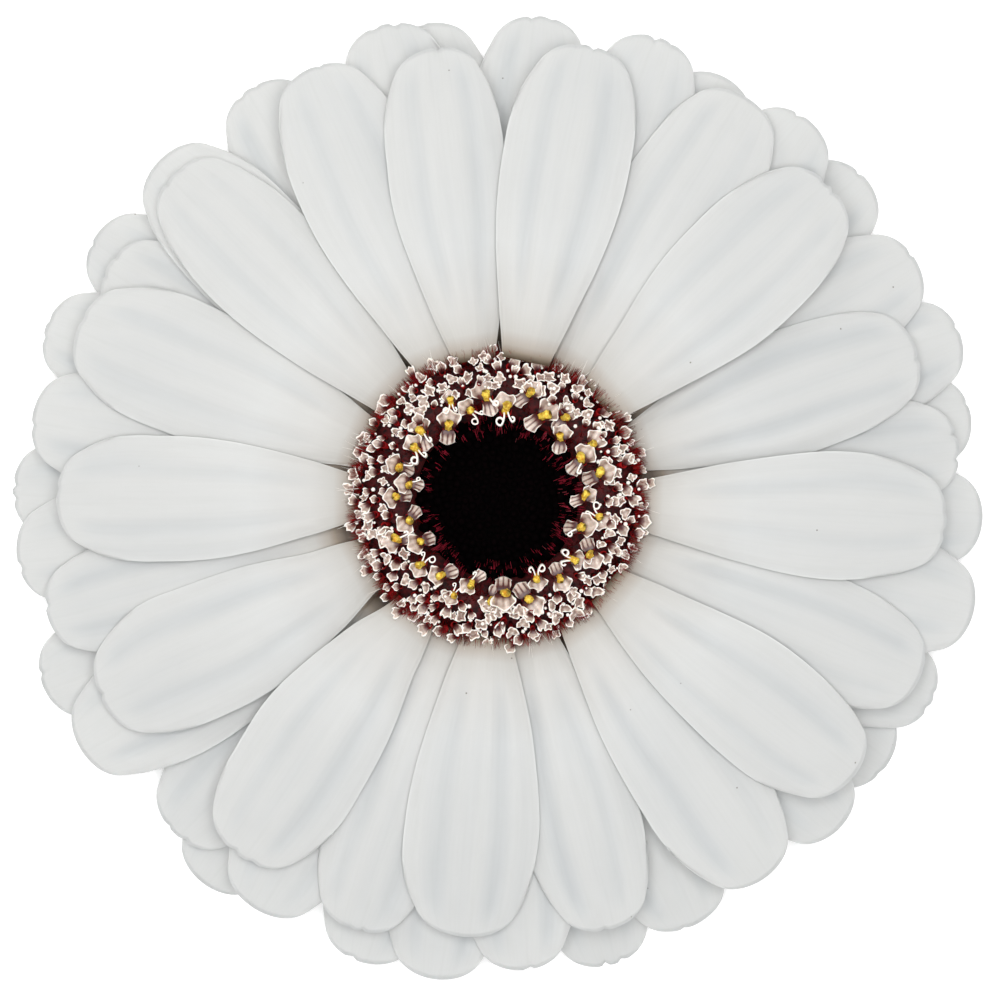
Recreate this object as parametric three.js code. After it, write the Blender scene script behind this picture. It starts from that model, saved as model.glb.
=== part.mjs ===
// A cut gerbera bloom: three whorls of white petals round a dark-hearted disc, in a green involucre
// on a stem that is cut short. It lies face up, on the cut stem and on the tips of its lowest petals.
// Millimetres, +Z up; the origin is under the middle of the bloom, on the surface that it lies on.
import * as THREE from "three";

const CLEARANCE = 0.35; // air between two pieces that touch in the real bloom

// The stem and the green cup above it.
const STEM_RADIUS = 3.3;
const STEM_LENGTH = 4.5;
const CUT_BEVEL = 0.3;
const RECEPTACLE_RADIUS = 12.6;
const RECEPTACLE_DEPTH = 7.2;
const BRACT_COUNT = 24;
const BRACT_THICKNESS = 1.1;
const BRACT_REACH = 18.2; // radius at a bract's tip
const BRACT_NOTCH = 15.6; // radius where two bracts part

// The disc: a heart of closed florets inside two rings of open ones.
const HEART_RADIUS = 9.2;
const OPEN_RING_RADIUS = 12.2;
const DISC_RADIUS = 15.2;
const HEART_HEIGHT = 7.6; // each height is measured from the receptacle's top
const OPEN_RING_HEIGHT = 9.6;
const OUTER_RING_HEIGHT = 8.8;

// Every petal.
const BLOOM_RADIUS = 54.8; // how far the lower whorl reaches
const PETAL_WIDTH = 14;
const PETAL_THICKNESS = 0.5;
const PETAL_ROOT_RADIUS = DISC_RADIUS + CLEARANCE;
const PETAL_TIP_SHARE = 0.17;
const PETAL_WIDEST = 0.64; // how far along the petal it is widest
const PETAL_CAMBER = 0.9; // how far the edges hang below the middle
const PETAL_DROOP_POWER = 1.6;
const LAYING_GAP = 0.36; // air between petals that lie on each other
const LAYING_MARGIN = 0.4; // how far outside its outline a petal is kept clear
const ROOT_STRETCH = 0.25; // the stretch at the root that sets how far a petal is lifted

// Each petal: azimuth in degrees, then what its reach and width differ by from its whorl's, its roll
// in degrees, which lifts the edge of the larger azimuth, and how far its tip leans to that side.
// A whorl's petals are in the order in which they lie on each other, the lowest first. Its fall is
// how far the tips hang towards the surface, where the lower whorl's touch it, and its root is the
// width there, as a share of the full width.
const LOWER_WHORL = {
  name: "lower_petal",
  reach: BLOOM_RADIUS,
  width: PETAL_WIDTH - 0.4,
  rise: 0.8,
  fall: 1,
  root: 0.24,
  petals: [
    [10, -0.4, -0.6, 0, 0],
    [41, 0.4, 0, 0, 0],
    [61.5, -0.8, -0.6, 0, 0],
    [98.5, -0.4, 0, 0, 0],
    [147, -0.4, 0, 0, 0],
    [179, 0.2, 0, 0, 0],
    [202.5, 1, 0, 0, 0],
    [232.5, 0.2, 0.4, 0, 0],
    [253.5, -0.1, 0.4, 0, 0],
    [283.5, -0.3, 0.2, 0, 0],
    [325.5, -1.3, 0, 0, 0],
    [357.5, 0.1, 0, 0, 0],
    [19.5, 0.7, 0, 0, 0],
    [159, -0.1, 0.2, 0, 0],
    [335, -0.5, -0.4, 0, 0],
  ],
};
const MIDDLE_WHORL = {
  name: "middle_petal",
  reach: BLOOM_RADIUS - 0.6,
  width: PETAL_WIDTH,
  rise: 1,
  fall: 0.9,
  root: 0.28,
  petals: [
    [7, -1.8, -0.8, 0, -0.6],
    [29.5, 0.1, 0, 0, 0],
    [50.5, 1, 0, 0, 0],
    [85, 0.5, -0.2, 0, 0],
    [121, 0, 0, 0, 0],
    [149, -3, -1, 0, 0],
    [187, 0.6, 0.2, 0, 0],
    [226, -1.5, 0.2, 0, 0],
    [262.5, 0.6, 0, 0, 0],
    [294.5, -1, 0.4, 0, 0],
    [316, -0.5, -0.6, 0, 0],
    [346.5, 1, 0.4, 0, 0],
    [70.5, 0.8, 0, 0, 0],
    [103.5, 0.8, 0.2, 0, 0],
    [135, -0.3, 0.4, 0, 0],
    [170, -0.9, 0.2, 0, 0],
    [211, 0.8, 0.6, 0, 0],
    [239.5, -0.4, 0.6, 0, 0],
    [273, -0.9, -0.6, 0, 0],
    [194.5, -1.7, -0.8, 0, 0],
  ],
};
const UPPER_WHORL = {
  name: "upper_petal",
  reach: BLOOM_RADIUS - 3.8,
  width: PETAL_WIDTH,
  rise: 1.2,
  fall: 0.75,
  root: 0.38,
  petals: [
    [20, -1, 0.2, 0, -0.4],
    [58, 2, 0.4, 0, 0],
    [157.5, 0, 1, 0, 0],
    [251.5, 0.2, -0.6, 0, 0],
    [284.5, -0.9, -0.8, 0, 0],
    [337, 0.6, -0.2, 0, 0],
    [135, 0.6, -0.4, 4, 0],
    [207, -1, 1, 0, 0],
    [305, 1.2, 0, -4, 0],
    [113.5, 1.7, 0, 4, 0],
    [234, -1.4, 0.7, 0, 0],
    [99.5, 0, -0.8, 3, -1.2],
    [180, -1.4, 0.2, 0, 0],
    [321, -0.3, -0.2, -2, 0.8],
    [43, 0.2, 0.8, 0, 0],
    [265.5, -1.6, 1, 0, 0],
    [357, -0.5, 0, 0, 0],
    [78.5, 0.8, 0.2, 0, 0],
  ],
};

const WHITE = material(0xf2f2ee, 0.55);
const GREEN = material(0x6f8f3c, 0.7);
const PALE_GREEN = material(0xb9c48a, 0.7);
const MAROON = material(0x4a0f14, 0.8);
const BLUSH = material(0xd9c3bf, 0.7);
const BLACK = material(0x0c0508, 0.85);

const receptacleFloor = STEM_LENGTH + CLEARANCE;
const receptacleTop = receptacleFloor + RECEPTACLE_DEPTH;
const discFloor = receptacleTop + CLEARANCE;
const petalRootHeight = discFloor + PETAL_THICKNESS + LAYING_GAP;
const fallToSurface = petalRootHeight - PETAL_CAMBER * PETAL_TIP_SHARE - PETAL_THICKNESS / 2;

function material(color, roughness) {
  return new THREE.MeshStandardMaterial({ color, roughness, metalness: 0 });
}

function piece(name, geometry, look) {
  const mesh = new THREE.Mesh(geometry, look);
  mesh.name = name;
  return mesh;
}

// A solid of revolution about Z, from [radius, height] points that run anticlockwise in that plane.
function turned(points, segments) {
  const profile = points.map(([radius, height]) => new THREE.Vector2(radius, height));
  return new THREE.LatheGeometry(profile, segments).rotateX(Math.PI / 2);
}

// The points of a bowl's wall, a quarter of an ellipse from its neck up to its rim.
function bowl(neck, rim, floor, depth, steps) {
  const points = [];
  for (let i = 0; i <= steps; i++) {
    const angle = (i / steps) * (Math.PI / 2);
    points.push([neck + (rim - neck) * Math.sin(angle), floor + depth * (1 - Math.cos(angle))]);
  }
  return points;
}

function stem() {
  const profile = [
    [0, 0],
    [STEM_RADIUS - CUT_BEVEL, 0],
    [STEM_RADIUS, CUT_BEVEL],
    [STEM_RADIUS, STEM_LENGTH],
    [0, STEM_LENGTH],
  ];
  return piece("stem", turned(profile, 28), GREEN);
}

function receptacle() {
  const wall = bowl(STEM_RADIUS, RECEPTACLE_RADIUS, receptacleFloor, RECEPTACLE_DEPTH, 6);
  const profile = [[0, receptacleFloor], ...wall, [0, receptacleTop]];
  return piece("receptacle", turned(profile, 36), PALE_GREEN);
}

// The green cup: a bowl round the receptacle whose rim is cut into the pointed tips of its bracts.
function involucre() {
  const steps = 5;
  const floor = receptacleFloor - CLEARANCE;
  const neck = STEM_RADIUS + CLEARANCE;
  const rim = RECEPTACLE_RADIUS + 2 * CLEARANCE;
  const inner = bowl(neck, rim, floor, RECEPTACLE_DEPTH, steps);
  const outer = bowl(neck, rim + BRACT_THICKNESS, floor - BRACT_THICKNESS, RECEPTACLE_DEPTH, steps);
  const tipTop = discFloor - CLEARANCE;
  const ring = [...outer, ["tip", tipTop - BRACT_THICKNESS / 2], ["tip", tipTop], ...inner.reverse()];
  const around = BRACT_COUNT * 2;
  const positions = [];
  for (let a = 0; a < around; a++) {
    const angle = (a / around) * 2 * Math.PI;
    const tip = a % 2 ? BRACT_NOTCH : BRACT_REACH;
    for (const [radius, height] of ring) {
      const r = radius === "tip" ? tip : radius;
      positions.push(r * Math.cos(angle), r * Math.sin(angle), height);
    }
  }
  const index = [];
  const n = ring.length;
  for (let a = 0; a < around; a++) {
    for (let i = 0; i < n; i++) {
      const here = a * n + i;
      const above = a * n + ((i + 1) % n);
      const beside = ((a + 1) % around) * n + i;
      const across = ((a + 1) % around) * n + ((i + 1) % n);
      index.push(here, beside, across, here, across, above);
    }
  }
  return piece("involucre", indexed(positions, index), GREEN);
}

function indexed(positions, index) {
  const geometry = new THREE.BufferGeometry();
  geometry.setAttribute("position", new THREE.Float32BufferAttribute(positions, 3));
  geometry.setIndex(index);
  geometry.computeVertexNormals();
  return geometry;
}

// The disc's three zones, each a solid of its florets' outer shape.
function disc() {
  const heartTop = discFloor + HEART_HEIGHT;
  const heart = [
    [0, discFloor],
    [HEART_RADIUS, discFloor],
    [HEART_RADIUS, heartTop - 1.4],
    [HEART_RADIUS * 0.8, heartTop - 0.5],
    [HEART_RADIUS * 0.45, heartTop],
    [0, heartTop - 0.1],
  ];
  const openRing = ringProfile(HEART_RADIUS + CLEARANCE, OPEN_RING_RADIUS, OPEN_RING_HEIGHT);
  const outerRing = ringProfile(OPEN_RING_RADIUS + CLEARANCE, DISC_RADIUS, OUTER_RING_HEIGHT);
  return [
    piece("disc_heart", turned(heart, 36), BLACK),
    piece("open_disc_florets", turned(openRing, 36), BLUSH),
    piece("outer_disc_florets", turned(outerRing, 36), MAROON),
  ];
}

function ringProfile(inside, outside, height) {
  const top = discFloor + height;
  const shoulder = (outside - inside) * 0.3;
  return [
    [inside, discFloor],
    [outside, discFloor],
    [outside, top - shoulder],
    [outside - shoulder, top],
    [inside + shoulder, top],
    [inside, top - shoulder],
    [inside, discFloor],
  ];
}

// How wide a petal is at a share of its length, as a share of its full width.
function outline(root, along) {
  if (along < PETAL_WIDEST) {
    const t = Math.sin((along / PETAL_WIDEST) * (Math.PI / 2)) ** 1.15;
    return root + (1 - root) * t;
  }
  const t = (along - PETAL_WIDEST) / (1 - PETAL_WIDEST);
  return Math.max(PETAL_TIP_SHARE, Math.sqrt(Math.max(0, 1 - t ** 2.4)));
}

// A petal's middle surface, in axes along and across it: height() answers at a share of its length
// and a share of its half width. Lift raises the whole petal and tilt only its tip.
class Petal {
  constructor(whorl, [azimuth, reach, width, roll, lean]) {
    this.angle = THREE.MathUtils.degToRad(azimuth);
    this.length = whorl.reach + reach - PETAL_ROOT_RADIUS;
    this.halfWidth = (whorl.width + width) / 2;
    this.slope = Math.tan(THREE.MathUtils.degToRad(roll));
    this.lean = lean;
    this.root = whorl.root;
    this.rise = whorl.rise;
    this.droop = whorl.fall * fallToSurface;
    this.lift = 0;
    this.tilt = 0;
  }

  half(along) {
    return this.halfWidth * outline(this.root, along);
  }

  height(along, across) {
    const width = outline(this.root, along);
    const arch = this.rise * 4 * along * (1 - along) - this.droop * along ** PETAL_DROOP_POWER;
    const section = this.slope * across * this.half(along) - PETAL_CAMBER * width * across ** 2;
    return petalRootHeight + this.lift + this.tilt * along + arch + section;
  }

  point(along, across) {
    const x = PETAL_ROOT_RADIUS + along * this.length;
    const y = across * this.half(along) + this.lean * along ** 2;
    const cos = Math.cos(this.angle);
    const sin = Math.sin(this.angle);
    return [x * cos - y * sin, x * sin + y * cos, this.height(along, across)];
  }

  // The height at a place seen from above, or null outside the outline and its margin.
  heightUnder(px, py) {
    const x = px * Math.cos(this.angle) + py * Math.sin(this.angle);
    const y = -px * Math.sin(this.angle) + py * Math.cos(this.angle);
    const along = (x - PETAL_ROOT_RADIUS) / this.length;
    const margin = LAYING_MARGIN / this.length;
    if (along < -margin || along > 1 + margin) return null;
    const inside = THREE.MathUtils.clamp(along, 0, 1);
    const across = (y - this.lean * inside ** 2) / this.half(inside);
    if (Math.abs(across) > 1 + LAYING_MARGIN / this.half(inside)) return null;
    return this.height(inside, THREE.MathUtils.clamp(across, -1, 1));
  }

  // Lifts this petal's root, then tilts it, until it lies clear on all that are already in place.
  layOn(placed) {
    this.lift = this.shortfall(placed, 0, ROOT_STRETCH, () => 1);
    this.tilt = this.shortfall(placed, ROOT_STRETCH, 1, (along) => along);
  }

  // The most by which a stretch of this petal is too low, over the lever that lifts it there.
  shortfall(placed, from, to, lever) {
    let most = 0;
    for (let i = 0; i <= 40; i++) {
      const along = from + (to - from) * (i / 40);
      for (let j = -8; j <= 8; j++) {
        const [x, y, z] = this.point(along, j / 8);
        for (const under of placed) {
          const surface = under.heightUnder(x, y);
          if (surface === null) continue;
          most = Math.max(most, (surface + PETAL_THICKNESS + LAYING_GAP - z) / lever(along));
        }
      }
    }
    return most;
  }

  // A closed blade, from stations along the petal that are closer together at its round tip.
  geometry() {
    const stations = [0, 0.16, 0.33, 0.49, 0.62, 0.76, 0.88, 0.96, 1];
    const columns = [-1, -0.5, 0, 0.5, 1];
    const n = columns.length;
    const positions = [];
    for (const side of [PETAL_THICKNESS / 2, -PETAL_THICKNESS / 2]) {
      for (const along of stations) {
        for (const across of columns) {
          const [x, y, z] = this.point(along, across);
          positions.push(x, y, z + side);
        }
      }
    }
    const under = stations.length * n;
    const index = [];
    for (let i = 0; i + 1 < stations.length; i++) {
      for (let j = 0; j + 1 < n; j++) {
        const a = i * n + j;
        const [b, c, d] = [a + n, a + n + 1, a + 1];
        index.push(a, b, c, a, c, d);
        index.push(under + a, under + c, under + b, under + a, under + d, under + c);
      }
    }
    const rim = [];
    for (let i = 0; i + 1 < stations.length; i++) rim.push(i * n);
    for (let j = 0; j + 1 < n; j++) rim.push((stations.length - 1) * n + j);
    for (let i = stations.length - 1; i > 0; i--) rim.push(i * n + n - 1);
    for (let j = n - 1; j > 0; j--) rim.push(j);
    rim.forEach((a, i) => {
      const b = rim[(i + 1) % rim.length];
      index.push(a, under + a, under + b, a, under + b, b);
    });
    return indexed(positions, index);
  }
}

function whorls() {
  const placed = [];
  const meshes = [];
  for (const whorl of [LOWER_WHORL, MIDDLE_WHORL, UPPER_WHORL]) {
    whorl.petals.forEach((entry, i) => {
      const petal = new Petal(whorl, entry);
      petal.layOn(placed);
      placed.push(petal);
      const name = `${whorl.name}_${String(i + 1).padStart(2, "0")}`;
      meshes.push(piece(name, petal.geometry(), WHITE));
    });
  }
  return meshes;
}

function centreOnItsBase(group) {
  const box = new THREE.Box3().setFromObject(group);
  const middle = box.getCenter(new THREE.Vector3());
  group.position.set(-middle.x, -middle.y, -box.min.z);
}

const bloom = new THREE.Group();
bloom.add(stem(), receptacle(), involucre(), ...disc(), ...whorls());
centreOnItsBase(bloom);

export default bloom;
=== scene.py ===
"""A cut white gerbera bloom, lying face up: petals, disc florets, green cup and cut stem."""
import math
import random

import bpy
import numpy as np
from mathutils import Matrix, Vector, noise


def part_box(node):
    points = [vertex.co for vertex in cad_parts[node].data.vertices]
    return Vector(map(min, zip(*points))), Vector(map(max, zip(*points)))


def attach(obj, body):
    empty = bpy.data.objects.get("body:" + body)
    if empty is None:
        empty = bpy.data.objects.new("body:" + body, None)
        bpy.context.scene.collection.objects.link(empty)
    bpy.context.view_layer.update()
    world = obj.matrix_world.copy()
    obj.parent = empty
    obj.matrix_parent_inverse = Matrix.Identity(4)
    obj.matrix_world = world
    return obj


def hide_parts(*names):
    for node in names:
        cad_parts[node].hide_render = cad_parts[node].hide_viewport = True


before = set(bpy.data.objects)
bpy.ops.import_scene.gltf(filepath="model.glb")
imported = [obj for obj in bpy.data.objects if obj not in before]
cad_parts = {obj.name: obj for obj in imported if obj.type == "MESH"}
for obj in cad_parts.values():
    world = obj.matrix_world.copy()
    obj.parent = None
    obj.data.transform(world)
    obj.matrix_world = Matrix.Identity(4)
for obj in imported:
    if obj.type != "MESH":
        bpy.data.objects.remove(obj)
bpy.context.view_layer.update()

MM = 0.001
GOLDEN_ANGLE = 137.508  # degrees between one floret and the next in a flower's spiral

PETAL_SHEET = 0.3 * MM  # a ray petal is about as thick as card
TIP_DEPTH = 3.3 * MM  # how deep the round end of a petal is
PETAL_ROWS = 48
PETAL_COLUMNS = 32
STATION = 0.1 * MM  # a petal's solid is read at stations this fine
STATION_GAP = 0.3 * MM  # and at least this far apart
GROOVES = (  # place from edge to edge, strength and width, in half widths of the petal
    (-0.46, 1, 0.15), (0.46, 1, 0.15), (0, 0.3, 0.12), (-0.74, 0.2, 0.1), (0.74, 0.2, 0.1))
GROOVE_DEPTH = 0.45 * MM
WAVE_HEIGHT = 0.3 * MM
EDGE_DROOP = 0.18 * MM
NOTCH_CHANCE = 0.45
STAIN_AND_SHADE_FADE = 0.35  # the share of a petal's length over which the root's brown and its painted shade fade out
UPPER_STAIN_AND_SHADE_END, LOWER_STAIN_AND_SHADE_END = 0.35, 0.415
# Two petals lean towards each other and nearly close the gap between their roots.
SIDEWAYS_LEAN = {"upper_petal_08": 0.5 * MM, "upper_petal_11": -0.5 * MM}

OPEN_VARIANTS = 8
OPEN_COUNT = 34
SMALL_LIP_VARIANTS = 7
SMALL_COUNT = 255
TUFT_VARIANTS = 4
TUFT_COUNT = 400
BUD_COUNT = 230
FLECK_COUNT = 170
STEM_DOWN_COUNT = 150
CUP_DOWN_COUNT = 420
LIP_SHEET = 0.12 * MM
BRACT_SHEET = 0.35 * MM
STEM_RIBS = 12
PITH_SHARE = 0.86  # of the stem's radius; the rest is skin

heart_low, heart_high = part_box("disc_heart")
open_low, open_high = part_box("open_disc_florets")
ring_low, ring_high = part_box("outer_disc_florets")
cup_low, cup_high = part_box("involucre")
stem_low, stem_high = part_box("stem")
AXIS = (heart_low + heart_high) / 2  # the bloom's own axis, which is not quite the model's origin
HEART_RADIUS = (heart_high.x - heart_low.x) / 2
OPEN_RADIUS = (open_high.x - open_low.x) / 2
RING_RADIUS = (ring_high.x - ring_low.x) / 2
CUP_RADIUS = (cup_high.x - cup_low.x) / 2
STEM_RADIUS = (stem_high.x - stem_low.x) / 2


# ---------------------------------------------------------------- materials

def colour(hex_value):
    """A linear RGBA colour from an sRGB hex value."""
    parts = [int(hex_value[i:i + 2], 16) / 255 for i in (1, 3, 5)]
    return (*(c / 12.92 if c <= 0.04045 else ((c + 0.055) / 1.055) ** 2.4 for c in parts), 1)


def add(tree, kind, inputs=None, **settings):
    """Adds one node; an input takes a value, or a socket to be linked to."""
    made = tree.nodes.new(kind)
    for key, value in settings.items():
        setattr(made, key, value)
    for key, value in (inputs or {}).items():
        socket = made.inputs[key]
        if isinstance(value, bpy.types.NodeSocket):
            tree.links.new(value, socket)
        else:
            socket.default_value = value
    return made


def material(name):
    """An empty material's tree and the principled shader at its end."""
    made = bpy.data.materials.new(name)
    made.use_nodes = True
    made.node_tree.nodes.clear()
    tree = made.node_tree
    shader = add(tree, "ShaderNodeBsdfPrincipled")
    add(tree, "ShaderNodeOutputMaterial", {"Surface": shader.outputs["BSDF"]})
    return made, tree, shader


def ramp(tree, factor, stops):
    """A colour ramp node with its stops set."""
    made = add(tree, "ShaderNodeValToRGB", {"Fac": factor})
    elements = made.color_ramp.elements
    while len(elements) < len(stops):
        elements.new(0.5)
    for element, (place, value) in zip(elements, stops):
        element.position = place
        element.color = value
    return made


def petal_material():
    """Living ray petal: white and waxy, thin enough to glow, with fine veins along it."""
    made, tree, shader = material("gerbera_ray_petal")
    place = add(tree, "ShaderNodeUVMap", uv_map="UVMap")
    # Veins 0.35 mm apart, each running on for a centimetre or more.
    fine = add(tree, "ShaderNodeMapping", {"Vector": place.outputs["UV"], "Scale": (3, 40, 1)})
    veins = add(tree, "ShaderNodeTexNoise", {"Vector": fine.outputs["Vector"], "Scale": 1.0,
                                             "Detail": 3.0, "Roughness": 0.55})
    # Pleats 1.5 mm apart, which catch the light as broad soft bands.
    broad = add(tree, "ShaderNodeMapping", {"Vector": place.outputs["UV"], "Scale": (1.2, 9, 1)})
    pleats = add(tree, "ShaderNodeTexNoise", {"Vector": broad.outputs["Vector"], "Scale": 1.0,
                                              "Detail": 1.0, "Roughness": 0.4})
    # Painted shade and highlight: cooler and greyer down in the grooves as painted shade, and paler
    # along the thin edge and on the crests of the waves as painted highlight.
    painted_shade_and_highlight = add(tree, "ShaderNodeAttribute", attribute_name="relief")
    base = ramp(tree, painted_shade_and_highlight.outputs["Fac"], [
        (0.0, colour("#c5c7c8")), (0.3, colour("#cccdcd")), (0.5, colour("#d1d1d0")),
        (0.75, colour("#d3d4d3")), (1.0, colour("#e6e6e4"))])
    # The root, half hidden under the disc, is stained brown, but only on its upper side; the brown
    # is partly the root's own stain and partly painted shade under the disc and between the petals.
    stain_and_shade = add(tree, "ShaderNodeAttribute", attribute_name="stain_and_shade")
    facing = add(tree, "ShaderNodeSeparateXYZ",
                 {"Vector": add(tree, "ShaderNodeNewGeometry").outputs["Normal"]})
    upper = add(tree, "ShaderNodeMapRange", {"Value": facing.outputs["Z"], "From Min": -0.3,
                                             "From Max": 0.1, "To Min": 0.5})
    stain_and_shade = add(tree, "ShaderNodeMath", {0: stain_and_shade.outputs["Fac"], 1: upper.outputs["Result"]},
                operation="MULTIPLY")
    root = ramp(tree, stain_and_shade.outputs[0], [
        (0.0, colour("#fdfefe")), (0.54, colour("#f5f4f2")), (0.76, colour("#eceae6")),
        (0.88, colour("#d5cbc1")), (0.94, colour("#b5a694")), (1.0, colour("#6a5642"))])
    stained_and_shaded = add(tree, "ShaderNodeMixRGB", {"Fac": 1.0, "Color1": base.outputs["Color"],
                                             "Color2": root.outputs["Color"]},
                  blend_type="MULTIPLY")
    vein_tint = ramp(tree, veins.outputs["Fac"], [
        (0.3, colour("#e4e5e2")), (0.55, colour("#ffffff")), (1.0, colour("#ffffff"))])
    mix = add(tree, "ShaderNodeMixRGB", {"Fac": 0.1, "Color1": stained_and_shaded.outputs["Color"],
                                         "Color2": vein_tint.outputs["Color"]},
              blend_type="MULTIPLY")
    # A few grains of dust and pollen, 0.2 mm across.
    spot_place = add(tree, "ShaderNodeTexCoord")
    spots = add(tree, "ShaderNodeTexVoronoi", {"Vector": spot_place.outputs["Object"],
                                               "Scale": 1 / (4.5 * MM)})
    grain = ramp(tree, spots.outputs["Distance"], [
        (0.014, colour("#a5a19a")), (0.028, colour("#ffffff")), (1.0, colour("#ffffff"))])
    dusted = add(tree, "ShaderNodeMixRGB", {"Fac": 1.0, "Color1": mix.outputs["Color"],
                                            "Color2": grain.outputs["Color"]},
                 blend_type="MULTIPLY")
    tree.links.new(dusted.outputs["Color"], shader.inputs["Base Color"])
    relief = add(tree, "ShaderNodeBump", {"Height": veins.outputs["Fac"], "Strength": 0.15,
                                          "Distance": 0.03 * MM})
    folds = add(tree, "ShaderNodeBump", {"Height": pleats.outputs["Fac"], "Strength": 0.4,
                                         "Distance": 0.2 * MM, "Normal": relief.outputs["Normal"]})
    tree.links.new(folds.outputs["Normal"], shader.inputs["Normal"])
    shader.inputs["Roughness"].default_value = 0.52
    shader.inputs["IOR"].default_value = 1.4
    shader.inputs["Subsurface Weight"].default_value = 0.85
    shader.inputs["Subsurface Radius"].default_value = (1.0, 1.0, 1.0)
    shader.inputs["Subsurface Scale"].default_value = 0.5 * MM
    return made


def lip_material():
    """Disc floret lip: blush grey in its hollow, with crisp white crests, maroon in its throat."""
    made, tree, shader = material("disc_floret_lip")
    crest = add(tree, "ShaderNodeAttribute", attribute_name="crest")
    place = add(tree, "ShaderNodeTexCoord")
    mottle = add(tree, "ShaderNodeTexNoise", {"Vector": place.outputs["Object"],
                                              "Scale": 1 / (0.4 * MM), "Detail": 2.0})
    wander = add(tree, "ShaderNodeMath", {0: mottle.outputs["Fac"], 1: 0.3, 2: -0.15},
                 operation="MULTIPLY_ADD")
    level = add(tree, "ShaderNodeMath", {0: crest.outputs["Fac"], 1: wander.outputs[0]},
                operation="ADD")
    tone = ramp(tree, level.outputs[0], [
        (0.0, colour("#34050a")), (0.25, colour("#521c18")), (0.46, colour("#8d766b")),
        (0.68, colour("#c3b0a4")), (0.86, colour("#f9ede3")), (1.0, colour("#fffbf5"))])
    tree.links.new(tone.outputs["Color"], shader.inputs["Base Color"])
    shader.inputs["Roughness"].default_value = 0.45
    shader.inputs["Subsurface Weight"].default_value = 0.1
    shader.inputs["Subsurface Scale"].default_value = 0.2 * MM
    return made


def bed_material():
    """The bed of the disc: dark maroon between the florets, and green like the cup below them; the
    maroon is deepened as painted shade at the bottom of the gaps.
    """
    made, tree, shader = material("disc_bed")
    place = add(tree, "ShaderNodeTexCoord")
    spots = add(tree, "ShaderNodeTexNoise", {"Vector": place.outputs["Object"],
                                             "Scale": 1 / (0.6 * MM), "Detail": 4.0})
    # The maroon on top is darkened as painted shade at the bottom of the gaps between the florets.
    above = ramp(tree, spots.outputs["Fac"], [
        (0.35, colour("#200203")), (0.65, colour("#5e0a0e"))])
    below = ramp(tree, spots.outputs["Fac"], [
        (0.35, colour("#7d9350")), (0.65, colour("#aebb7c"))])
    parts = add(tree, "ShaderNodeSeparateXYZ", {"Vector": place.outputs["Object"]})
    middle = (ring_low.z + ring_high.z) / 2 - 1.2 * MM
    height = add(tree, "ShaderNodeMapRange", {"Value": parts.outputs["Z"],
                                              "From Min": middle - 0.4 * MM,
                                              "From Max": middle + 0.4 * MM})
    mix = add(tree, "ShaderNodeMixRGB", {"Fac": height.outputs["Result"],
                                         "Color1": below.outputs["Color"],
                                         "Color2": above.outputs["Color"]})
    tree.links.new(mix.outputs["Color"], shader.inputs["Base Color"])
    relief = add(tree, "ShaderNodeBump", {"Height": spots.outputs["Fac"], "Strength": 0.7,
                                          "Distance": 0.1 * MM})
    tree.links.new(relief.outputs["Normal"], shader.inputs["Normal"])
    shader.inputs["Roughness"].default_value = 0.8
    return made


def speckled(name, dark, light, size, roughness, depth=0.05):
    """A grown surface mottled between two colours, with spots of a real size in metres."""
    made, tree, shader = material(name)
    place = add(tree, "ShaderNodeTexCoord")
    spots = add(tree, "ShaderNodeTexNoise", {"Vector": place.outputs["Object"], "Scale": 1 / size,
                                             "Detail": 4.0, "Roughness": 0.6})
    mottle = ramp(tree, spots.outputs["Fac"], [(0.35, colour(dark)), (0.65, colour(light))])
    tree.links.new(mottle.outputs["Color"], shader.inputs["Base Color"])
    relief = add(tree, "ShaderNodeBump", {"Height": spots.outputs["Fac"], "Strength": 0.6,
                                          "Distance": depth * MM})
    tree.links.new(relief.outputs["Normal"], shader.inputs["Normal"])
    shader.inputs["Roughness"].default_value = roughness
    return made


PETAL = petal_material()
LIP = lip_material()
# Pollen: dry, matt grains in two yellows.
POLLEN = speckled("anther_pollen", "#d08c08", "#ffe960", 0.4 * MM, 0.7)
BED = bed_material()
# Bristles between the florets: dark wine red, deepened as painted shade in the gaps, with hardly
# any shine, so the gaps look deep.
MAROON = speckled("maroon_bristle", "#380206", "#960e10", 0.8 * MM, 0.6)
# The bristles round the heart: brighter and pinker, seen as flecks on black.
FLECK = speckled("bright_maroon_bristle", "#5a0a16", "#a01c34", 0.7 * MM, 0.5)
# Closed buds: so dark and matt that the heart reads as a black hole; the buds' own near-black is
# deepened to pure black as painted shade in the sunken heart.
BUD = speckled("black_bud", "#000000", "#060102", 0.6 * MM, 0.9)
# Fine hairs: off white and slightly silky.
HAIR = speckled("pale_hair", "#d3cbc0", "#fbf8f3", 1.0 * MM, 0.6)
# Bracts: mid green, mottled like any leaf, a little waxy.
BRACT = speckled("green_bract", "#4c6630", "#728d48", 1.1 * MM, 0.65)
# Stem skin: a fresher, yellower green.
SKIN = speckled("stem_skin", "#65833a", "#8aa455", 0.9 * MM, 0.6)
# The cut end: wet, pale green pith.
PITH = speckled("cut_pith", "#c3cf9a", "#e4ead0", 0.5 * MM, 0.8)
# The cushion under the florets: pale green flesh.
CUSHION = speckled("receptacle_flesh", "#a9b878", "#c8d19c", 0.9 * MM, 0.75)
for look, shine in ((MAROON, 0.15), (BUD, 0.03)):
    look.node_tree.nodes["Principled BSDF"].inputs["Specular IOR Level"].default_value = shine


# ---------------------------------------------------------------- modelling helpers

def fresh(operator, **options):
    """Adds a primitive with nothing else selected, and returns it."""
    bpy.ops.object.select_all(action="DESELECT")
    operator(**options)
    return bpy.context.active_object


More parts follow.
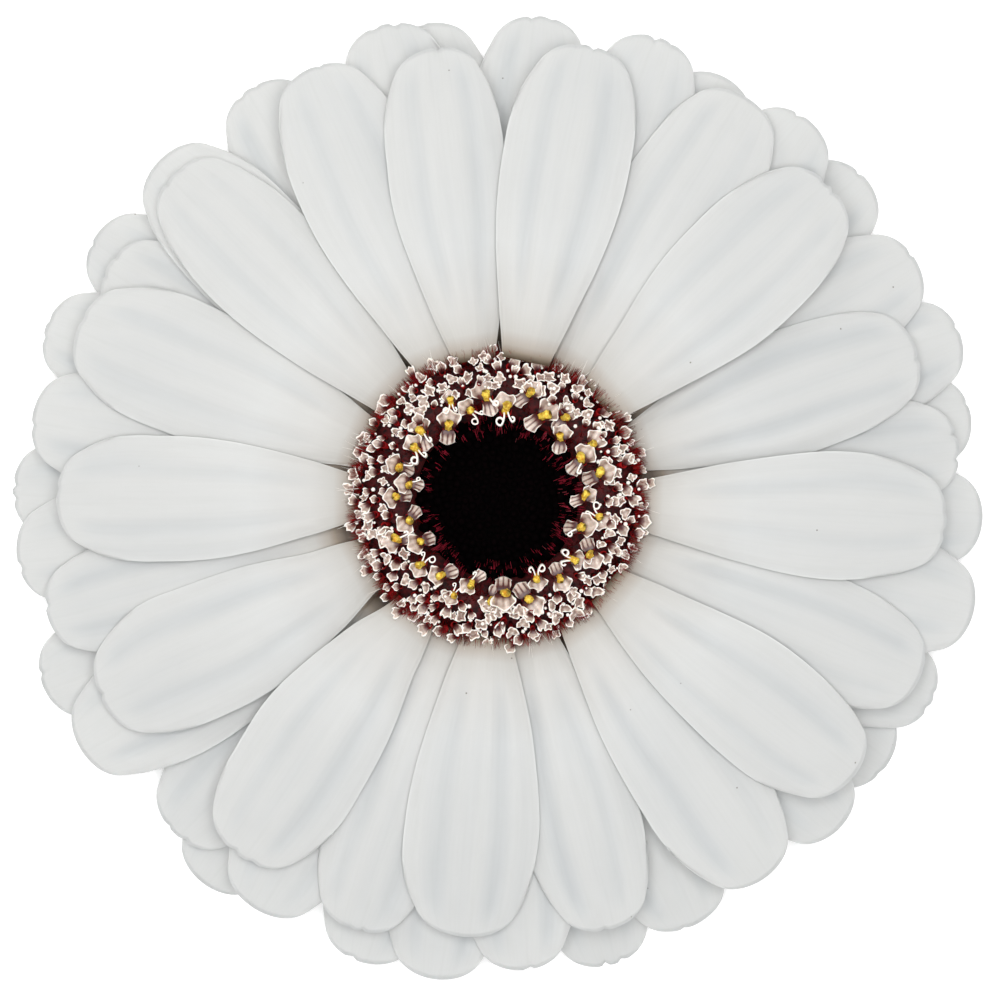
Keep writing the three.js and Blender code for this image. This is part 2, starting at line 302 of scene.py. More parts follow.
def finish_piece(piece, name, look, nodes, smooth=True):
    """Names a finished piece, gives it its material, and ties it to the frame."""
    piece.name = name
    piece.data.name = name
    if look is not None:
        piece.data.materials.clear()
        piece.data.materials.append(look)
    if smooth:
        piece.data.polygons.foreach_set("use_smooth", [True] * len(piece.data.polygons))
    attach(piece, "root")
    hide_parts(*nodes)
    return piece


def corners(piece):
    """A piece's vertices as rows of x, y and z."""
    co = np.empty(len(piece.data.vertices) * 3)
    piece.data.vertices.foreach_get("co", co)
    return co.reshape(-1, 3)


def shape(piece, points):
    """Moves a piece's vertices to the places worked out for them."""
    piece.data.vertices.foreach_set("co", np.asarray(points, float).ravel())
    piece.data.update()


def store(piece, name, levels):
    """Stores a share from 0 to 1 at each of a piece's corners, for its material to read."""
    made = piece.data.attributes.new(name, "FLOAT", "POINT")
    made.data.foreach_set("value", np.clip(levels, 0, 1).astype(np.float32))


def apply_modifier(piece, kind, **settings):
    """Adds a modifier with its settings and applies it at once."""
    bpy.ops.object.select_all(action="DESELECT")
    piece.select_set(True)
    bpy.context.view_layer.objects.active = piece
    made = piece.modifiers.new(kind.title(), kind)
    for key, value in settings.items():
        setattr(made, key, value)
    bpy.ops.object.modifier_apply(modifier=made.name)


def grid(rows, columns):
    """A flat sheet whose first axis runs along a blade and whose second runs across it."""
    return fresh(bpy.ops.mesh.primitive_grid_add, x_subdivisions=rows, y_subdivisions=columns,
                 size=1, location=(0, 0, 0))


def joined(pieces):
    """One object made of several, the first of which stays active."""
    bpy.ops.object.select_all(action="DESELECT")
    for piece in pieces:
        piece.select_set(True)
    bpy.context.view_layer.objects.active = pieces[0]
    if len(pieces) > 1:
        bpy.ops.object.join()
    return bpy.context.view_layer.objects.active


def planted(variants, places):
    """Copies of small shapes, each with its own mesh, set in their places and joined."""
    copies = []
    for which, matrix in places:
        copy = variants[which].copy()
        copy.data = variants[which].data.copy()
        copy.data.transform(matrix)
        bpy.context.collection.objects.link(copy)
        copies.append(copy)
    return joined(copies)


def remove(pieces):
    """Deletes shapes that have served as patterns for their copies."""
    for piece in pieces:
        bpy.data.objects.remove(piece, do_unlink=True)


def smoothstep(low, high, x):
    """0 below low, 1 above high, and a smooth rise between them."""
    t = np.clip((x - low) / (high - low), 0, 1)
    return t * t * (3 - 2 * t)


def on_disc(azimuth, radius, height, spin=0.0, tilt=0.0, size=1.0):
    """A place on the disc: out along an azimuth, leaning outward by tilt, in degrees."""
    a = math.radians(azimuth)
    at = Vector((AXIS.x + radius * math.cos(a), AXIS.y + radius * math.sin(a), height))
    turn = Matrix.Rotation(a, 4, "Z") @ Matrix.Rotation(math.radians(tilt), 4, "Y")
    return (Matrix.Translation(at) @ turn @ Matrix.Rotation(math.radians(spin), 4, "Z")
            @ Matrix.Scale(size, 4))


# ---------------------------------------------------------------- petals

def through(knots, values, x):
    """A smooth curve through values at uneven knots."""
    slopes = np.gradient(values, knots, axis=0, edge_order=1)
    i = np.clip(np.searchsorted(knots, x) - 1, 0, len(knots) - 2)
    h = (knots[i + 1] - knots[i])
    t = (x - knots[i]) / h
    if values.ndim > 1:
        h, t = h[:, None], t[:, None]
    t2, t3 = t * t, t * t * t
    return ((2 * t3 - 3 * t2 + 1) * values[i] + (t3 - 2 * t2 + t) * h * slopes[i]
            + (3 * t2 - 2 * t3) * values[i + 1] + (t3 - t2) * h * slopes[i + 1])


def read_petal(node):
    """A petal's azimuth and its middle surface, station by station, from its solid.

    The surface is given by each station's place, sideways lean, half width and five heights
    across."""
    points = np.array([v.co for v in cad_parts[node].data.vertices], float)
    points[:, :2] -= (AXIS.x, AXIS.y)
    radius = np.hypot(points[:, 0], points[:, 1])
    root = points[radius < radius.min() + 1.2 * MM].mean(0)
    azimuth = math.atan2(root[1], root[0])
    cos, sin = math.cos(azimuth), math.sin(azimuth)
    along = points[:, 0] * cos + points[:, 1] * sin
    across = points[:, 1] * cos - points[:, 0] * sin
    places, leans, halves, heights = [], [], [], []
    for k in np.unique(np.round(along / STATION).astype(int)):
        if places and k * STATION - places[-1] < STATION_GAP:
            continue
        here = np.abs(along - k * STATION) < 2 * STATION
        low, high = across[here].min(), across[here].max()
        middle, half = (low + high) / 2, (high - low) / 2
        row = []
        for share in (-1, -0.5, 0, 0.5, 1):
            near = here & (np.abs(across - middle - share * half) < 0.08 * half)
            z = points[near, 2]
            row.append((z.max() + z.min()) / 2)
        places.append(k * STATION)
        leans.append(middle)
        halves.append(half)
        heights.append(row)
    return azimuth, *(np.array(found) for found in (places, leans, halves, heights))


def petal(node, seed):
    """One ray petal on its solid's middle surface: pleated, rolled at its edges and notched."""
    rng = random.Random(seed)
    azimuth, places, leans, halves, heights = read_petal(node)
    piece = grid(PETAL_ROWS, PETAL_COLUMNS)
    flat = corners(piece)
    # share runs from 0 at the root to 1 at the tip, with its rows closer together near the tip,
    # and b from -1 at one edge to 1 at the other.
    a = flat[:, 0] + 0.5
    share = a * (1.3 - 0.3 * a)
    turn = flat[:, 1] * math.pi
    b = np.sin(turn)
    length = places[-1] - places[0]
    # The rows bow outward as they near the tip, so that the last one is its round end.
    bow = TIP_DEPTH * smoothstep(0.55, 1, share)
    edge_x = places[0] + share * length - bow
    x = edge_x + bow * np.cos(turn)
    half = through(places, halves, edge_x)
    lean = through(places, leans, x)
    lean += (SIDEWAYS_LEAN.get(node, 0) * smoothstep(0.03, 0.2, share)
             * (1 - smoothstep(0.45, 0.85, share)))
    columns = through(places, heights, x)
    middle, edge = columns[:, 2], (columns[:, 0] + columns[:, 4]) / 2
    roll = (columns[:, 4] - columns[:, 0]) / 2
    z = middle + roll * b + (edge - middle) * b * b

    # Two main grooves a third of the way in from each side, and fainter ones between them,
    # which wander a little and fade here and there.
    body = smoothstep(0.05, 0.3, share) * (1 - smoothstep(0.88, 0.99, share))
    rows = np.linspace(0, 1, PETAL_ROWS)
    hollow = np.zeros_like(b)
    for k, (place, strength, width) in enumerate(GROOVES):
        place += rng.uniform(-0.08, 0.08)
        strength *= rng.uniform(0.4, 1)
        drift = [noise.noise(Vector((row * 2.4, seed * 3.3, k * 5.1))) for row in rows]
        fade = [noise.noise(Vector((row * 3.1, seed * 1.9, k * 2.7 + 50))) for row in rows]
        off = (b - place - 0.09 * np.interp(share, rows, drift)) / width
        hollow += strength * (0.85 + 0.35 * np.interp(share, rows, fade)) * np.exp(-off * off)
    hollow = np.clip(hollow, 0, 1.3) * body
    wave = np.array([noise.noise(Vector((s * 2.3 + seed * 7.1, c * 0.9, seed * 3.7)))
                     for s, c in zip(share, b)])
    z = z + (0.12 * MM - GROOVE_DEPTH * hollow) * body
    z += wave * WAVE_HEIGHT * smoothstep(0.1, 0.5, share)
    z -= EDGE_DROOP * smoothstep(0.76, 1, np.abs(b)) * body
    # thin marks the thin edge, which the material paints paler as a painted highlight.
    thin = smoothstep(0.95, 1, np.abs(b)) * (1 - smoothstep(0.8, 0.95, share))
    thin -= 0.4 * smoothstep(0.98, 1, share)

    for place in (-0.2, 0.22):  # small notches in the tip, on some petals one and on some two
        if rng.random() < NOTCH_CHANCE:
            notch = np.exp(-((b - place - rng.uniform(-0.12, 0.12)) / 0.07) ** 2)
            x = x - rng.uniform(0.2, 0.5) * MM * notch * smoothstep(0.96, 1, share)
    sway = np.array([noise.noise(Vector((s * 3.1, seed * 5.3, side)))
                     for s, side in zip(share, np.sign(b))])
    pinch = rng.uniform(0.0, 0.1) * (1 - smoothstep(0.0, 0.15, share))
    y = lean + b * half * (1 + 0.05 * sway * body) * (1 - pinch)

    cos, sin = math.cos(azimuth), math.sin(azimuth)
    shape(piece, np.stack([AXIS.x + x * cos - y * sin, AXIS.y + x * sin + y * cos, z], 1))
    # relief drives painted shade in the grooves and painted highlight along the edge and on the
    # wave crests.
    store(piece, "relief", 0.5 - 0.5 * hollow + wave * 0.12 + 0.35 * thin)
    # The lower whorls are stained further out, as painted shade in the deep gaps under the petals
    # above them.
    stain_and_shade_end = UPPER_STAIN_AND_SHADE_END if node.startswith("upper") else LOWER_STAIN_AND_SHADE_END
    store(piece, "stain_and_shade", (stain_and_shade_end - share) / STAIN_AND_SHADE_FADE)
    apply_modifier(piece, "SOLIDIFY", thickness=PETAL_SHEET, offset=0, use_even_offset=False)
    return finish_piece(piece, node + "_blade", PETAL, [node])


petal_nodes = sorted(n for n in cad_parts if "_petal_" in n)
for number, name in enumerate(petal_nodes, start=1):
    petal(name, number)


# ---------------------------------------------------------------- disc florets

def lip(rng, length, root, end, teeth, curl, cup, roundness=0.35, lines=0, rows=8, columns=10):
    """A floret's lip: a small sheet that widens from its throat to a frilled, upturned rim.

    root and end are its widths, curl is how far it bends down, in radians, cup how far its
    sides rise, and lines how strongly three dark lines show along it."""
    piece = grid(rows, columns)
    flat = corners(piece)
    a, turn = flat[:, 0] + 0.5, flat[:, 1] * math.pi
    a = a * (1.25 - 0.25 * a)
    b = np.sin(turn)
    bow = roundness * length * smoothstep(0.1, 1, a)
    frill = np.cos(b * math.pi * teeth / 2 + rng.uniform(-0.6, 0.6))
    along = a * length - bow * (1 - np.cos(turn)) + 0.12 * length * frill * smoothstep(0.6, 1, a)
    half = (root + (end - root) * np.sin(np.minimum(a / 0.7, 1) * math.pi / 2)) / 2
    half *= 1 + 0.08 * np.sin(a * 7 + rng.uniform(0, 6))
    bend = curl * along / length
    out = np.sin(bend) / curl * length
    up = 0.35 * MM * np.sin(a * math.pi * 0.6) - (1 - np.cos(bend)) / curl * length
    upturn = 0.3 * MM * np.maximum(smoothstep(0.7, 1, a), smoothstep(0.75, 1, np.abs(b)) * a)
    z = up + cup * (b * half) ** 2 / MM + 0.16 * MM * frill * smoothstep(0.5, 1, a) + upturn
    shape(piece, np.stack([out, b * half, z], 1))
    rim = np.maximum(smoothstep(0.88, 0.99, a),
                     smoothstep(0.92, 0.99, np.abs(b)) * smoothstep(0.15, 0.4, a))
    level = 0.66 * smoothstep(0.1, 0.55, a) + 0.1 * frill * smoothstep(0.3, 0.8, a)
    level -= 0.45 * lines * (0.5 + 0.5 * np.cos(b * 3 * math.pi)) ** 4 * smoothstep(0.15, 0.4, a)
    store(piece, "crest", level + (1 - level) * rim)
    apply_modifier(piece, "SOLIDIFY", thickness=LIP_SHEET, offset=0)
    return piece


def curled_lobe(side, turns, radius):
    """An inner lobe rolled up like a watch spring, seen edge on from above."""
    piece = grid(22, 3)
    flat = corners(piece)
    a, b = flat[:, 0] + 0.5, flat[:, 1] * 2
    angle = a * turns * 2 * math.pi
    r = radius * (1 - 0.5 * a)
    reach = np.minimum(a * 4, 1) * 0.8 * MM
    x = -0.2 * MM - reach - r * np.sin(angle) + b * 0.06 * MM
    y = side * (0.2 * MM + radius - r * np.cos(angle))
    z = 0.35 * MM + b * 0.28 * MM * (1 - 0.3 * a) + 0.25 * MM * a
    shape(piece, np.stack([x, y, z], 1))
    store(piece, "crest", 0.86 + 0.14 * b)
    apply_modifier(piece, "SOLIDIFY", thickness=0.17 * MM, offset=0)
    return piece


def small_cup(rng, size, points, shut):
    """A small floret: a crumpled star of a cup, whose rim stands up round a dark or shut throat."""
    piece = grid(5, 5)
    flat = corners(piece) * 2
    out = np.maximum(np.abs(flat[:, 0]), np.abs(flat[:, 1]))
    angle = np.arctan2(flat[:, 1], flat[:, 0])
    out = out ** 0.55
    first, second, third = (rng.uniform(0, 2 * math.pi) for _ in range(3))
    lobes = np.cos(points * angle + first)
    reach = size * (1 + 0.22 * lobes + 0.14 * np.cos(2 * angle + second)
                    + 0.09 * np.cos(7 * angle + third) + 0.15 * np.cos(angle))
    z = size * (0.55 * out ** 2 + 0.3 * lobes * out ** 2 + 0.25 * np.cos(2 * angle + third) * out
                + shut * 0.6 * (1 - out) ** 2)
    shape(piece, np.stack([reach * out * np.cos(angle), reach * out * np.sin(angle), z], 1))
    throat_level = 0.5 if shut else 0.1
    level = throat_level + (0.58 - throat_level) * smoothstep(0.1, 0.6, out)
    level += 0.3 * smoothstep(0.55, 1, -lobes) * smoothstep(0.2, 0.5, out)  # pale folds
    level -= 0.14 * smoothstep(0.3, 1, lobes) * smoothstep(0.2, 0.5, out)
    store(piece, "crest", level + (1 - level) * smoothstep(0.87, 1, out))
    apply_modifier(piece, "SOLIDIFY", thickness=0.1 * MM, offset=0)
    return piece


def anther(rng):
    """The tube of anthers, dusted with pollen and a little open at its top."""
    piece = fresh(bpy.ops.mesh.primitive_cylinder_add, vertices=9, radius=0.34 * MM,
                  depth=1.5 * MM, location=(0.05 * MM, 0, 0.35 * MM))
    bpy.ops.object.transform_apply(location=True, rotation=False, scale=False)
    bpy.ops.object.mode_set(mode="EDIT")
    bpy.ops.mesh.select_all(action="SELECT")
    bpy.ops.mesh.subdivide(number_cuts=2)
    bpy.ops.object.mode_set(mode="OBJECT")
    points = corners(piece)
    top = points[:, 2] > 0.6 * MM
    points[top, :2] *= 1.25
    points += np.array([[rng.uniform(-1, 1) for _ in range(3)] for _ in points]) * 0.07 * MM
    shape(piece, points)
    return piece


def throat(radius, depth):
    """The floret's tube, an open maroon trumpet with a wall."""
    piece = fresh(bpy.ops.mesh.primitive_cone_add, vertices=8, radius1=radius * 0.45,
                  radius2=radius, depth=depth, end_fill_type="NOTHING",
                  location=(0, 0, -depth / 2 + 0.1 * MM))
    bpy.ops.object.transform_apply(location=True, rotation=False, scale=False)
    apply_modifier(piece, "SOLIDIFY", thickness=0.08 * MM, offset=-1)
    return piece


rng = random.Random(11)
open_height = open_high.z - 0.9 * MM
open_lips = []
for k in range(OPEN_VARIANTS):
    outer = lip(rng, rng.uniform(1.9, 2.3) * MM, 1.2 * MM, rng.uniform(2.2, 2.8) * MM, 3, 0.4, 0.12,
                lines=0.35, columns=14)
    inner = lip(rng, 2.1 * MM, 1.1 * MM, rng.uniform(1.5, 1.9) * MM, 2, 0.9, -0.1,
                roundness=0.08, lines=1, columns=18)
    inner.data.transform(Matrix.Rotation(math.pi + rng.uniform(-0.3, 0.3), 4, "Z"))
    large = curled_lobe(1, rng.uniform(0.8, 1.15), rng.uniform(0.48, 0.6) * MM)
    little = curled_lobe(-1, rng.uniform(0.6, 1.0), rng.uniform(0.3, 0.45) * MM)
    # Two lobes held flat as one strap, two rolled up, or one of each.
    lobes = ((inner,), (inner,), (large, little), (inner, little))[k % 4]
    remove([piece for piece in (inner, large, little) if piece not in lobes])
    open_lips.append(joined([outer, *lobes]))
anthers = [anther(rng) for _ in range(3)]
tubes = [throat(0.7 * MM, 2.6 * MM)]

places, pollen_places, tube_places = [], [], []
for k in range(OPEN_COUNT):
    azimuth = k * 360 / OPEN_COUNT + rng.uniform(-3, 3)
    radius = OPEN_RADIUS + (-2.5, -1.0, -1.9, -0.5)[k % 4] * MM + rng.uniform(-0.3, 0.3) * MM
    place = on_disc(azimuth, radius, open_height + rng.uniform(-0.3, 0.4) * MM,
                    rng.uniform(-40, 40), rng.uniform(-22, 24), rng.uniform(0.76, 1.06))
    places.append((rng.randrange(OPEN_VARIANTS), place))
    tube_places.append((0, place))
    lean = (Matrix.Rotation(rng.uniform(0.2, 0.7), 4, Vector((rng.uniform(-1, 1), 1, 0)))
            @ Matrix.Scale(1.15, 4))
    pollen_places.append((rng.randrange(len(anthers)), place @ lean))
finish_piece(planted(open_lips, places), "open_floret_lips", LIP,
             ["open_disc_florets"])
finish_piece(planted(anthers, pollen_places), "anther_tubes", POLLEN,
             ["open_disc_florets"])
open_tubes = planted(tubes, tube_places)

small = [small_cup(rng, rng.uniform(0.55, 0.68) * MM, points, shut)
         for points, shut in ((5, 0), (4, 1), (3, 0), (4, 0), (3, 1))]
for _ in range(SMALL_LIP_VARIANTS):
    small.append(lip(rng, rng.uniform(1.0, 1.3) * MM, 0.5 * MM, rng.uniform(0.95, 1.35) * MM,
                     rng.choice((2, 3, 3, 4)), 0.35, rng.uniform(0.1, 0.5), lines=0.5,
                     rows=4, columns=6))
# Unopened florets between the others show only as a pale dot on a stalk.
stalk = fresh(bpy.ops.mesh.primitive_cone_add, vertices=4, radius1=0.06 * MM,
              radius2=0.12 * MM, depth=2.2 * MM, location=(0, 0, -1.2 * MM))
bpy.ops.object.transform_apply(location=True, rotation=False, scale=False)
store(stalk, "crest", np.full(len(stalk.data.vertices), 0.25))
tip = fresh(bpy.ops.mesh.primitive_ico_sphere_add, subdivisions=1, radius=0.22 * MM)
store(tip, "crest", np.full(len(tip.data.vertices), 0.95))
knob = joined([tip, stalk])
small_tubes = [throat(0.4 * MM, 2.4 * MM)]

small_places, small_tube_places, knob_places = [], [], []
inner_edge, outer_edge = OPEN_RADIUS - 0.2 * MM, RING_RADIUS + 1.3 * MM
ring_area = outer_edge ** 2 - inner_edge ** 2
for k in range(SMALL_COUNT):
    radius = math.sqrt(inner_edge ** 2 + ring_area * (k + 0.5) / SMALL_COUNT)
    radius += rng.uniform(-0.22, 0.22) * MM
    azimuth = k * GOLDEN_ANGLE + rng.uniform(-1.4, 1.4)
    over = (radius - inner_edge) / (outer_edge - inner_edge)
    height = ring_high.z - 0.1 * MM - 1.5 * MM * over ** 2 + rng.uniform(-0.45, 0.4) * MM
    place = on_disc(azimuth, radius, height, rng.uniform(-70, 70),
                    2 + 16 * over + rng.uniform(-18, 18), rng.uniform(0.68, 1.12))
    small_places.append((rng.randrange(len(small)), place))
    small_tube_places.append((0, place))
    if rng.random() < 0.85:
        knob_places.append((0, on_disc(azimuth + rng.uniform(-4, 4),
                                       radius - rng.uniform(0, 0.9) * MM,
                                       height + 0.2 * MM, size=rng.uniform(0.7, 1.3))))
small_lips = planted(small, small_places)
finish_piece(joined([small_lips, planted([knob], knob_places)]), "outer_floret_lips", LIP,
             ["outer_disc_florets"])
finish_piece(joined([open_tubes, planted(small_tubes, small_tube_places)]), "floret_tubes",
             MAROON, ["open_disc_florets", "outer_disc_florets"])
remove(open_lips + anthers + tubes + small + [knob] + small_tubes)


# ---------------------------------------------------------------- bristles and the dark heart

def tuft(rng, count, length, spread, thickness):
    """A tuft of fine stiff bristles that rise from one root."""
    bristles = []
    for _ in range(count):
        bristle = fresh(bpy.ops.mesh.primitive_cone_add, vertices=3, radius1=thickness,
                        radius2=thickness * 0.25, depth=length, location=(0, 0, length / 2))
        bpy.ops.object.transform_apply(location=True, rotation=False, scale=False)
        lean = Matrix.Rotation(rng.uniform(0, 2 * math.pi), 4, "Z") @ Matrix.Rotation(
            rng.uniform(0, spread), 4, "Y")
        side = Matrix.Translation((rng.uniform(-0.4, 0.4) * MM, rng.uniform(-0.4, 0.4) * MM, 0))
        bristle.data.transform(side @ lean @ Matrix.Scale(rng.uniform(0.7, 1.1), 4))
        bristles.append(bristle)
    return joined(bristles)


def cushion(name, low, high, inner, outer, look, nodes):
    """The solid bed from which the florets of one zone stand up, with a hole where inner says."""
    if inner:
        piece = fresh(bpy.ops.mesh.primitive_torus_add, major_segments=72, minor_segments=20,
                      major_radius=(outer + inner) / 2, minor_radius=(outer - inner) / 2)
        points = corners(piece)
        points[:, 2] *= (high - low) / (outer - inner)
    else:
        piece = fresh(bpy.ops.mesh.primitive_uv_sphere_add, segments=64, ring_count=24, radius=1)
        points = corners(piece)
        points[:, 2] = np.sign(points[:, 2]) * np.abs(points[:, 2]) ** 0.6 * (high - low) / 2
        points[:, :2] *= outer
    points += (AXIS.x, AXIS.y, (low + high) / 2)
    shape(piece, points)
    return finish_piece(piece, name, look, nodes)


rng = random.Random(23)
tufts = [tuft(rng, 9, 2.6 * MM, 0.5, 0.07 * MM) for _ in range(TUFT_VARIANTS)]
places = []
for _ in range(TUFT_COUNT):
    radius = math.sqrt(rng.uniform(HEART_RADIUS ** 2, (RING_RADIUS + 0.9 * MM) ** 2))
    over = max(0, (radius - OPEN_RADIUS) / (RING_RADIUS - OPEN_RADIUS))
    places.append((rng.randrange(TUFT_VARIANTS),
                   on_disc(rng.uniform(0, 360), radius,
                           ring_high.z - 3.7 * MM - 1.2 * MM * over ** 2,
                           rng.uniform(0, 360), rng.uniform(-5, 15) + 14 * over)))
finish_piece(planted(tufts, places), "maroon_bristles", MAROON,
             ["outer_disc_florets"], smooth=False)
remove(tufts)

cushion("floret_bed", ring_low.z, ring_high.z - 2.9 * MM, HEART_RADIUS - 0.4 * MM,
        RING_RADIUS + 0.4 * MM, BED, ["outer_disc_florets", "open_disc_florets"])

# Closed buds in a spiral, each a small pointed barrel.
bud = fresh(bpy.ops.mesh.primitive_uv_sphere_add, segments=7, ring_count=5, radius=0.5 * MM)
points = corners(bud)
points[:, 2] *= 2.2
shape(bud, points)
places = []
for k in range(BUD_COUNT):
    radius = HEART_RADIUS * 0.98 * math.sqrt((k + 0.5) / BUD_COUNT)
    share = radius / HEART_RADIUS
    height = heart_high.z - 1.6 * MM + 0.5 * MM * share ** 2 + rng.uniform(-0.2, 0.2) * MM
    places.append((0, on_disc(k * GOLDEN_ANGLE, radius, height, 0, -12 * share,
                              rng.uniform(0.85, 1.1))))
finish_piece(planted([bud], places), "heart_buds", BUD, ["disc_heart"])
remove([bud])
cushion("heart_bed", heart_low.z, heart_high.z - 1.4 * MM, 0, HEART_RADIUS, BUD,
        ["disc_heart"])

flecks = [tuft(rng, 5, 1.2 * MM, 0.4, 0.05 * MM) for _ in range(3)]
places = []
for _ in range(FLECK_COUNT):
    radius = HEART_RADIUS + rng.uniform(-1.5, 0.6) * MM
    places.append((rng.randrange(3), on_disc(rng.uniform(0, 360), radius, heart_high.z - 1.0 * MM,
                                             rng.uniform(0, 360), rng.uniform(-65, -20))))
finish_piece(planted(flecks, places), "heart_rim_bristles", FLECK, ["disc_heart"],
             smooth=False)
remove(flecks)

# Fine hairs that lie out over the roots of the petals, maroon near the disc and pale beyond it.
for name, look, count, together, length, lowest in (
        ("ring_bristles", MAROON, 460, 5, 1.5 * MM, 42), ("ring_hairs", HAIR, 60, 1, 2.6 * MM, 66)):
    hairs = [tuft(rng, together, length, 0.4, 0.035 * MM) for _ in range(3)]
    places = []
    for _ in range(count):
        places.append((rng.randrange(3), on_disc(rng.uniform(0, 360), RING_RADIUS + 0.3 * MM,
                                                 ring_high.z - rng.uniform(0.9, 1.9) * MM,
                                                 rng.uniform(0, 360), rng.uniform(lowest, 84))))
    finish_piece(planted(hairs, places), name, look, ["outer_disc_florets"],
                 smooth=False)
    remove(hairs)


# ---------------------------------------------------------------- green cup and stem

def bract(start, reach, width, lift):
    """A pointed bract that follows the cup from below and stands away at its tip.

    start is how far up the cup it begins, from 0 to 1, reach the radius of its tip, and lift
    how far it stands off the rows inside it."""
    piece = grid(14, 6)
    flat = corners(piece)
    a, b = flat[:, 0] + 0.5, flat[:, 1] * 2
    neck, rim = STEM_RADIUS + 0.4 * MM, CUP_RADIUS - 3.6 * MM
    low, top = cup_low.z, cup_high.z - 0.6 * MM
    turn = (start + (1 - start) * a) * math.pi / 2
    bowl = neck + (rim - neck) * np.sin(turn)
    over = smoothstep(0.62, 1, a)
    radius = bowl + (reach - rim) * over
    z = low + (top - low) * (1 - np.cos(turn)) - lift - 0.5 * MM * over
    half = width / 2 * np.sin(math.pi * (0.1 + 0.9 * a) ** 0.8) ** 0.75
    half = np.maximum(half, 0.06 * MM)
    z = z + 0.5 * (b * half) ** 2 / (4 * MM) * (1 - over)
    z = z - 0.18 * MM * np.exp(-(b / 0.22) ** 2)
    shape(piece, np.stack([radius, b * half, z], 1))
    apply_modifier(piece, "SOLIDIFY", thickness=BRACT_SHEET, offset=0)
    return piece


rng = random.Random(31)
bracts = [bract(0.45, CUP_RADIUS, 3.6 * MM, 0.0),
          bract(0.25, CUP_RADIUS - 1.4 * MM, 3.3 * MM, 0.45 * MM),
          bract(0.05, CUP_RADIUS - 4.4 * MM, 2.9 * MM, 0.9 * MM)]
places = []
for row, count in enumerate((26, 20, 14)):
    for k in range(count):
        azimuth = (k + 0.5 * (row % 2)) * 360 / count + rng.uniform(-3, 3)
        place = (Matrix.Translation((AXIS.x, AXIS.y, 0))
                 @ Matrix.Rotation(math.radians(azimuth), 4, "Z")
                 @ Matrix.Diagonal((1, rng.uniform(0.9, 1.1), 1, 1)))
        places.append((row, place))
finish_piece(planted(bracts, places), "bracts", BRACT, ["involucre"])
remove(bracts)

# The cup's own wall, a bowl under the bracts with an almost flat top.
cup = fresh(bpy.ops.mesh.primitive_uv_sphere_add, segments=72, ring_count=24, radius=1)
points = corners(cup)
top = cup_high.z - 0.5 * MM
points[:, 2] = np.where(points[:, 2] > 0, top + points[:, 2] * 0.2 * MM,
                        top + points[:, 2] * (top - cup_low.z - 0.3 * MM))
points[:, :2] *= CUP_RADIUS - 4.0 * MM
points[:, 0] += AXIS.x
points[:, 1] += AXIS.y
shape(cup, points)
finish_piece(cup, "cup_wall", BRACT, ["involucre"])

# The stub of stem: twelve shallow ribs, and pale pith within the skin at its cut end.
stem = fresh(bpy.ops.mesh.primitive_cylinder_add, vertices=72, radius=STEM_RADIUS,
             depth=stem_high.z - stem_low.z + 1.2 * MM,
             location=(AXIS.x, AXIS.y, (stem_high.z + stem_low.z) / 2 + 0.6 * MM))
bpy.ops.object.transform_apply(location=True, rotation=False, scale=False)
bpy.ops.object.mode_set(mode="EDIT")
bpy.ops.mesh.select_all(action="SELECT")
bpy.ops.mesh.subdivide(number_cuts=3)
bpy.ops.object.mode_set(mode="OBJECT")
points = corners(stem)
angle = np.arctan2(points[:, 1] - AXIS.y, points[:, 0] - AXIS.x)
ribs = 1 - 0.035 * (0.5 + 0.5 * np.cos(angle * STEM_RIBS))
points[:, 0] = AXIS.x + (points[:, 0] - AXIS.x) * ribs
points[:, 1] = AXIS.y + (points[:, 1] - AXIS.y) * ribs
shape(stem, points)
finish_piece(stem, "stem_stub", SKIN, ["stem"])
stem.data.materials.append(PITH)
for face in stem.data.polygons:
    off_axis = math.hypot(face.center.x - AXIS.x, face.center.y - AXIS.y)
    if face.normal.z < -0.9 and off_axis < STEM_RADIUS * PITH_SHARE:
        face.material_index = 1
        face.use_smooth = False

# The down on the stem and on the backs of the bracts: short pale hairs, drawn a little thick.
rng = random.Random(47)
down = [tuft(rng, 4, 0.7 * MM, 0.7, 0.022 * MM) for _ in range(3)]
places = []
for _ in range(STEM_DOWN_COUNT):
    places.append((rng.randrange(3), on_disc(rng.uniform(0, 360), STEM_RADIUS * 0.97,
                                             rng.uniform(0.4, 4.6) * MM + stem_low.z, 0, 88)))
finish_piece(planted(down, places), "stem_down", HAIR, ["stem"], smooth=False)
places = []
neck, rim, drop = STEM_RADIUS, CUP_RADIUS - 4.0 * MM, cup_high.z - cup_low.z - 0.9 * MM
for _ in range(CUP_DOWN_COUNT):
    turn = math.acos(rng.uniform(0, 1))
    lean = 180 - math.degrees(math.atan2(math.sin(turn) * drop, math.cos(turn) * (rim - neck)))
    radius = neck + (rim - neck) * math.sin(turn)
    height = cup_low.z + drop * (1 - math.cos(turn))
    places.append((rng.randrange(3), on_disc(rng.uniform(0, 360), radius, height, 0, lean)))
finish_piece(planted(down, places), "bract_down", HAIR, ["involucre"], smooth=False)
remove(down)

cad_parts["receptacle"].data.materials.clear()
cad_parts["receptacle"].data.materials.append(CUSHION)


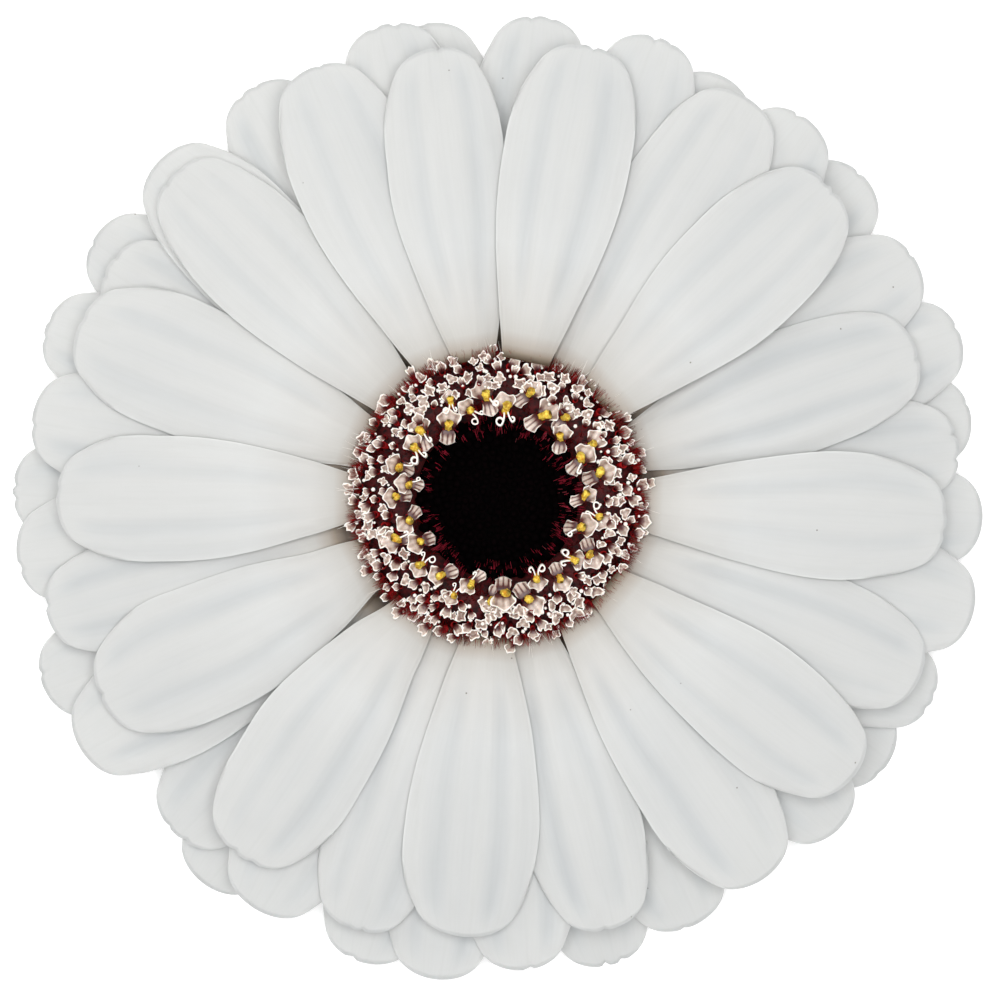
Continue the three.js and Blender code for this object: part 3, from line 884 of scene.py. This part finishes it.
# ---------------------------------------------------------------- floor, light and camera

floor = fresh(bpy.ops.mesh.primitive_plane_add, size=60, location=(0, 0, -0.05 * MM))
floor.name = "floor"
paper, tree, shader = material("white_studio_paper")
place = add(tree, "ShaderNodeTexCoord")
fibres = add(tree, "ShaderNodeTexNoise", {"Vector": place.outputs["Object"], "Scale": 900.0,
                                          "Detail": 3.0})
pale = ramp(tree, fibres.outputs["Fac"], [(0.3, colour("#f6f6f6")), (0.7, colour("#fbfbfb"))])
tree.links.new(pale.outputs["Color"], shader.inputs["Base Color"])
shader.inputs["Roughness"].default_value = 0.9
shader.inputs["Emission Color"].default_value = colour("#ffffff")
shader.inputs["Emission Strength"].default_value = 0.3  # a lit table, so shadows stay faint
floor.data.materials.append(paper)

world = bpy.data.worlds.new("studio")
bpy.context.scene.world = world
world.use_nodes = True
world.node_tree.nodes["Background"].inputs["Color"].default_value = (1, 1, 1, 1)
world.node_tree.nodes["Background"].inputs["Strength"].default_value = 0.4


def soft_light(name, place, size, power, tint):
    light = bpy.data.lights.new(name, "AREA")
    light.shape = "DISK"
    light.size = size
    light.energy = power
    light.color = colour(tint)[:3]
    holder = bpy.data.objects.new(name, light)
    holder.location = place
    holder.rotation_euler = (-Vector(place)).to_track_quat("-Z", "Y").to_euler()
    bpy.context.collection.objects.link(holder)


soft_light("overhead", (0.0, 0.03, 1.6), 0.8, 21.8, "#ffffff")
soft_light("key", (-0.45, 0.55, 0.85), 0.5, 1.3, "#fffaf2")

CAMERA_DISTANCE = 1.1
EYE_PLANE = 12 * MM  # the height at which the bloom fills the field
FIELD = 112.3 * MM  # how much of that plane the view takes in
camera_data = bpy.data.cameras.new("camera")
camera_data.lens = camera_data.sensor_width * CAMERA_DISTANCE / FIELD
camera = bpy.data.objects.new("camera", camera_data)
camera.location = (0.3 * MM, -0.3 * MM, CAMERA_DISTANCE + EYE_PLANE)
bpy.context.collection.objects.link(camera)
bpy.context.scene.camera = camera
bpy.context.scene.view_settings.view_transform = "Standard"
